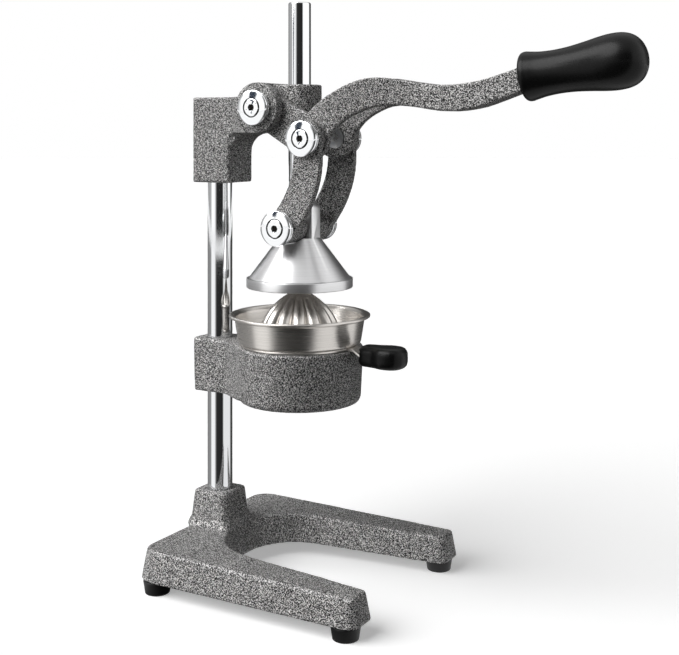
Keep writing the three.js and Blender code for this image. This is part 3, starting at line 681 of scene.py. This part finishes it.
def cap(pivot, side):
    """A thick polished disc: a slightly domed face, a soft edge and a fine groove round its side."""
    node = f"{pivot}_cap_{side}"
    radius = size(node).x / 2
    thick = size(node).y
    hole = HEAD_RADIUS + CLEARANCE
    edge = 0.9 * MM
    dome = 0.65 * MM
    groove = 0.38 * thick
    face_radius = radius - edge
    side_wall = [
        (radius - 0.5 * MM, 0, 0.3 * MM), (radius - 0.1 * MM, 0.5 * MM, 0.2 * MM),
        (radius - 0.1 * MM, groove - 0.3 * MM, 0.2 * MM), (radius - 0.7 * MM, groove),
        (radius, groove + 0.3 * MM, 0.2 * MM), (radius, thick - dome - edge),
        (radius - 0.25 * edge, thick - dome - 0.35 * edge),
    ]
    face = []
    for k in range(6):
        r = face_radius + (hole + 0.25 * MM - face_radius) * k / 5
        face.append((r, thick - dome * (r ** 2 - hole ** 2) / (face_radius ** 2 - hole ** 2)))
    piece = spun(f"{node}_polished", [
        (3.3 * MM, 0), *side_wall, *face, (hole, thick - 0.35 * MM), (hole, thick - HEAD_DEPTH),
        (3.3 * MM, thick - HEAD_DEPTH),
    ], sides=112, closed=True)
    piece.matrix_world = outward_at(node, side, boss_face(pivot, side))
    return polished(piece, node)


def polished(piece, node):
    show(piece, node, "chrome")
    piece.data.materials[0] = POLISHED_CAP
    return piece


def cap_screw(pivot, side):
    node = f"{pivot}_cap_screw_{side}"
    low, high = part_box(node)
    length = high.y - low.y
    top = length
    seat = top - HEAD_DEPTH

    def six_lobes(angle, z, r):
        inside = r < SOCKET_RADIUS * 1.02 and z > seat
        return 1 + 0.13 * math.cos(6 * angle) if inside else 1

    piece = spun(f"{node}_polished", [
        (0, 0), (3 * MM, 0, 0.4 * MM), (3 * MM, seat), (HEAD_RADIUS, seat, 0.2 * MM),
        (HEAD_RADIUS, top - 0.7 * MM, 0.3 * MM), (HEAD_RADIUS - 1.0 * MM, top - 0.25 * MM, 0.6 * MM),
        (SOCKET_RADIUS + 0.3 * MM, top), (SOCKET_RADIUS, top - 0.25 * MM),
        (SOCKET_RADIUS * 0.97, top - 1.5 * MM), (0, top - 1.7 * MM),
    ], sides=96, reach=six_lobes)
    inner = high.y if side == "near" else low.y
    piece.matrix_world = outward_at(node, side, inner)
    return polished(piece, node)


# ---- Stage, light and camera ----------------------------------------------------------------------------

# What polished metal mirrors, by bearing from -180 to 180 degrees: (bearing, brightness).
SURROUNDINGS = [
    (-180, 0.42), (-144, 0.50), (-137, 1.25), (-107, 1.25), (-95, 0.55),
    (-86, 0.03), (-30, 0.02), (-20, 1.30),
    (50, 1.30), (60, 0.08), (112, 0.04), (146, 0.05), (156, 0.38), (180, 0.42),
]
# The same for what lies below the horizon, mirrored by the lower column.
GROUND = [
    (-180, 0.28), (-146, 0.32), (-139, 1.10), (-105, 1.10), (-96, 0.36),
    (-86, 0.03), (-30, 0.02), (-20, 0.95),
    (50, 0.95), (60, 0.08), (112, 0.04), (146, 0.05), (156, 0.26), (180, 0.28),
]
CEILING = 1.0  # brightness overhead, taking over between these sines of elevation
CEILING_FROM, CEILING_TO = 0.40, 0.80
AMBIENT = 0.05  # what matt surfaces are lit by, besides the sun


def mixed(nodes, links, factor, first, second):
    node = nodes.new("ShaderNodeMix")
    node.data_type = "RGBA"
    links.new(factor, node.inputs[0])
    for socket, value in ((node.inputs[6], first), (node.inputs[7], second)):
        if isinstance(value, bpy.types.NodeSocket):
            links.new(value, socket)
        else:
            socket.default_value = grey(value)
    return node.outputs[2]


def bands(nodes, links, coordinates, table):
    """Brightness by bearing, read from a table."""
    parts = nodes.new("ShaderNodeSeparateXYZ")
    links.new(coordinates, parts.inputs[0])
    bearing = nodes.new("ShaderNodeMath")
    bearing.operation = "ARCTAN2"
    links.new(parts.outputs["Y"], bearing.inputs[0])
    links.new(parts.outputs["X"], bearing.inputs[1])
    share = nodes.new("ShaderNodeMapRange")
    share.inputs["From Min"].default_value = -math.pi
    share.inputs["From Max"].default_value = math.pi
    links.new(bearing.outputs[0], share.inputs["Value"])
    ramp = nodes.new("ShaderNodeValToRGB")
    elements = ramp.color_ramp.elements
    while len(elements) < len(table):
        elements.new(0.5)
    for element, (degrees, shade) in zip(elements, table):
        element.position = (degrees + 180) / 360
        element.color = grey(shade)
    links.new(share.outputs["Result"], ramp.inputs["Fac"])
    return ramp.outputs["Color"], parts.outputs["Z"]


def sky():
    """White to the camera; light and dark bands for metal to mirror; soft and dim to matt paint."""
    world = bpy.data.worlds.new("studio")
    bpy.context.scene.world = world
    world.use_nodes = True
    nodes, links = world.node_tree.nodes, world.node_tree.links
    around, rise = bands(nodes, links, nodes.new("ShaderNodeTexCoord").outputs["Generated"], SURROUNDINGS)
    height = nodes.new("ShaderNodeMapRange")
    height.inputs["From Min"].default_value = CEILING_FROM
    height.inputs["From Max"].default_value = CEILING_TO
    links.new(rise, height.inputs["Value"])
    path = nodes.new("ShaderNodeLightPath")
    mirrored = mixed(nodes, links, height.outputs["Result"], around, CEILING)
    lit = mixed(nodes, links, path.outputs["Is Diffuse Ray"], mirrored, AMBIENT)
    seen = mixed(nodes, links, path.outputs["Is Camera Ray"], lit, 1.0)
    links.new(seen, nodes["Background"].inputs["Color"])


def floor():
    """A matt white floor that also glows a little, so that shadows on it stay pale."""
    bm = bmesh.new()
    bmesh.ops.create_circle(bm, cap_ends=True, segments=96, radius=14)
    plane = object_of("floor", bm)
    glow = {"Emission_Color": grey(1), "Emission_Strength": FLOOR_GLOW}
    shader = Shader("floor_white", Specular_IOR_Level=0.0, **glow)
    haze = shader.noise(shader.place(), 3.0)
    shader.colour(shader.ramp(haze, [(0.3, 0.84), (0.7, 0.86)]))
    plane.data.materials.append(shader.material)
    plane.visible_diffuse = False


FLOOR_GLOW = 0.36
SUN_FROM = Vector((-0.50, -0.66, 0.72))
FLAG_DISTANCE = 1.3  # metres from the press to the dark card the caps reflect
SUN_POWER = 3.5
SUN_ANGLE = math.radians(55)


def sun():
    light = bpy.data.lights.new("key", "SUN")
    light.energy = SUN_POWER
    light.angle = SUN_ANGLE
    lamp = bpy.data.objects.new("key", light)
    bpy.context.scene.collection.objects.link(lamp)
    lamp.rotation_euler = (-SUN_FROM).to_track_quat("-Z", "Y").to_euler()


def card(name, corners, shade=None, place=(0, 0, 0)):
    """A flat card that only shows in polished metal: one colour, or the ground's bands."""
    bm = bmesh.new()
    bm.faces.new([bm.verts.new(corner) for corner in corners])
    piece = object_of(name, bm)
    piece.location = place
    shader = Shader(name, Base_Color=grey(0), Specular_IOR_Level=0.0, Emission_Strength=1.0)
    glow = shader.surface.inputs["Emission Color"]
    if shade:
        glow.default_value = (*shade, 1)
    else:
        shader.links.new(bands(shader.nodes, shader.links, shader.place(), GROUND)[0], glow)
    piece.data.materials.append(shader.material)
    piece.visible_camera = False
    piece.visible_diffuse = False
    piece.visible_shadow = False
    piece.visible_transmission = False


def towards(bearing, distance, height=0.0):
    angle = math.radians(bearing)
    return Vector((math.cos(angle) * distance, math.sin(angle) * distance, height))


def cards():
    """The ground's bands round the column's foot, and a blue-grey card high up for the pivot caps."""
    foot_of_column = (middle("column").x, 0, 0.0008)
    card("ground_bands", [towards(6 * k, 5.0) for k in range(60)], place=foot_of_column)
    card("cap_flag", [
        towards(-125, FLAG_DISTANCE, 0.43), towards(-121, FLAG_DISTANCE, 0.43),
        towards(-112, FLAG_DISTANCE, 1.10), towards(-134, FLAG_DISTANCE, 1.10),
    ], (0.020, 0.032, 0.055), place=PRESS_LINE)


CAMERA_BEARING = math.radians(30)
CAMERA_DISTANCE = 0.922
CAMERA_SIDE = 0.031
CAMERA_HEIGHT = 0.350
LENS = 62.8
SHIFT = -0.291


def camera():
    data = bpy.data.cameras.new("camera")
    data.lens = LENS
    data.sensor_width = 36
    data.shift_y = SHIFT
    data.clip_end = 30
    viewer = bpy.data.objects.new("camera", data)
    bpy.context.scene.collection.objects.link(viewer)
    forward = Vector((-math.sin(CAMERA_BEARING), math.cos(CAMERA_BEARING), 0))
    right = Vector((math.cos(CAMERA_BEARING), math.sin(CAMERA_BEARING), 0))
    level = PRESS_LINE + right * CAMERA_SIDE - forward * CAMERA_DISTANCE
    viewer.location = level + Vector((0, 0, CAMERA_HEIGHT))
    viewer.rotation_euler = (math.pi / 2, 0, CAMERA_BEARING)
    bpy.context.scene.camera = viewer


def studio():
    sky()
    floor()
    sun()
    cards()
    bpy.context.scene.view_settings.view_transform = "Standard"


def finish_small_nodes():
    """CAD nodes that no piece replaced keep their own meshes and take their slot's finish; hidden nodes are skipped.
    """
    for name, node in NODES.items():
        if node.hide_render:
            continue
        node.data.materials.clear()
        node.data.materials.append(FINISH[SLOT_OF[name]])


def main():
    make_castings()
    upright("column", 0.8 * MM)
    upright("plunger_rod", 1.2 * MM, STUD_LENGTH)
    press_cone()
    strainer_bowl()
    reamer()
    funnel()
    lever_grip()
    funnel_grip()
    for name in FEET:
        foot(name)
    for side in SIDES:
        for pivot in ("fulcrum", "knee", "cone"):
            cap(pivot, side)
            cap_screw(pivot, side)
    finish_small_nodes()
    camera()
    studio()


main()
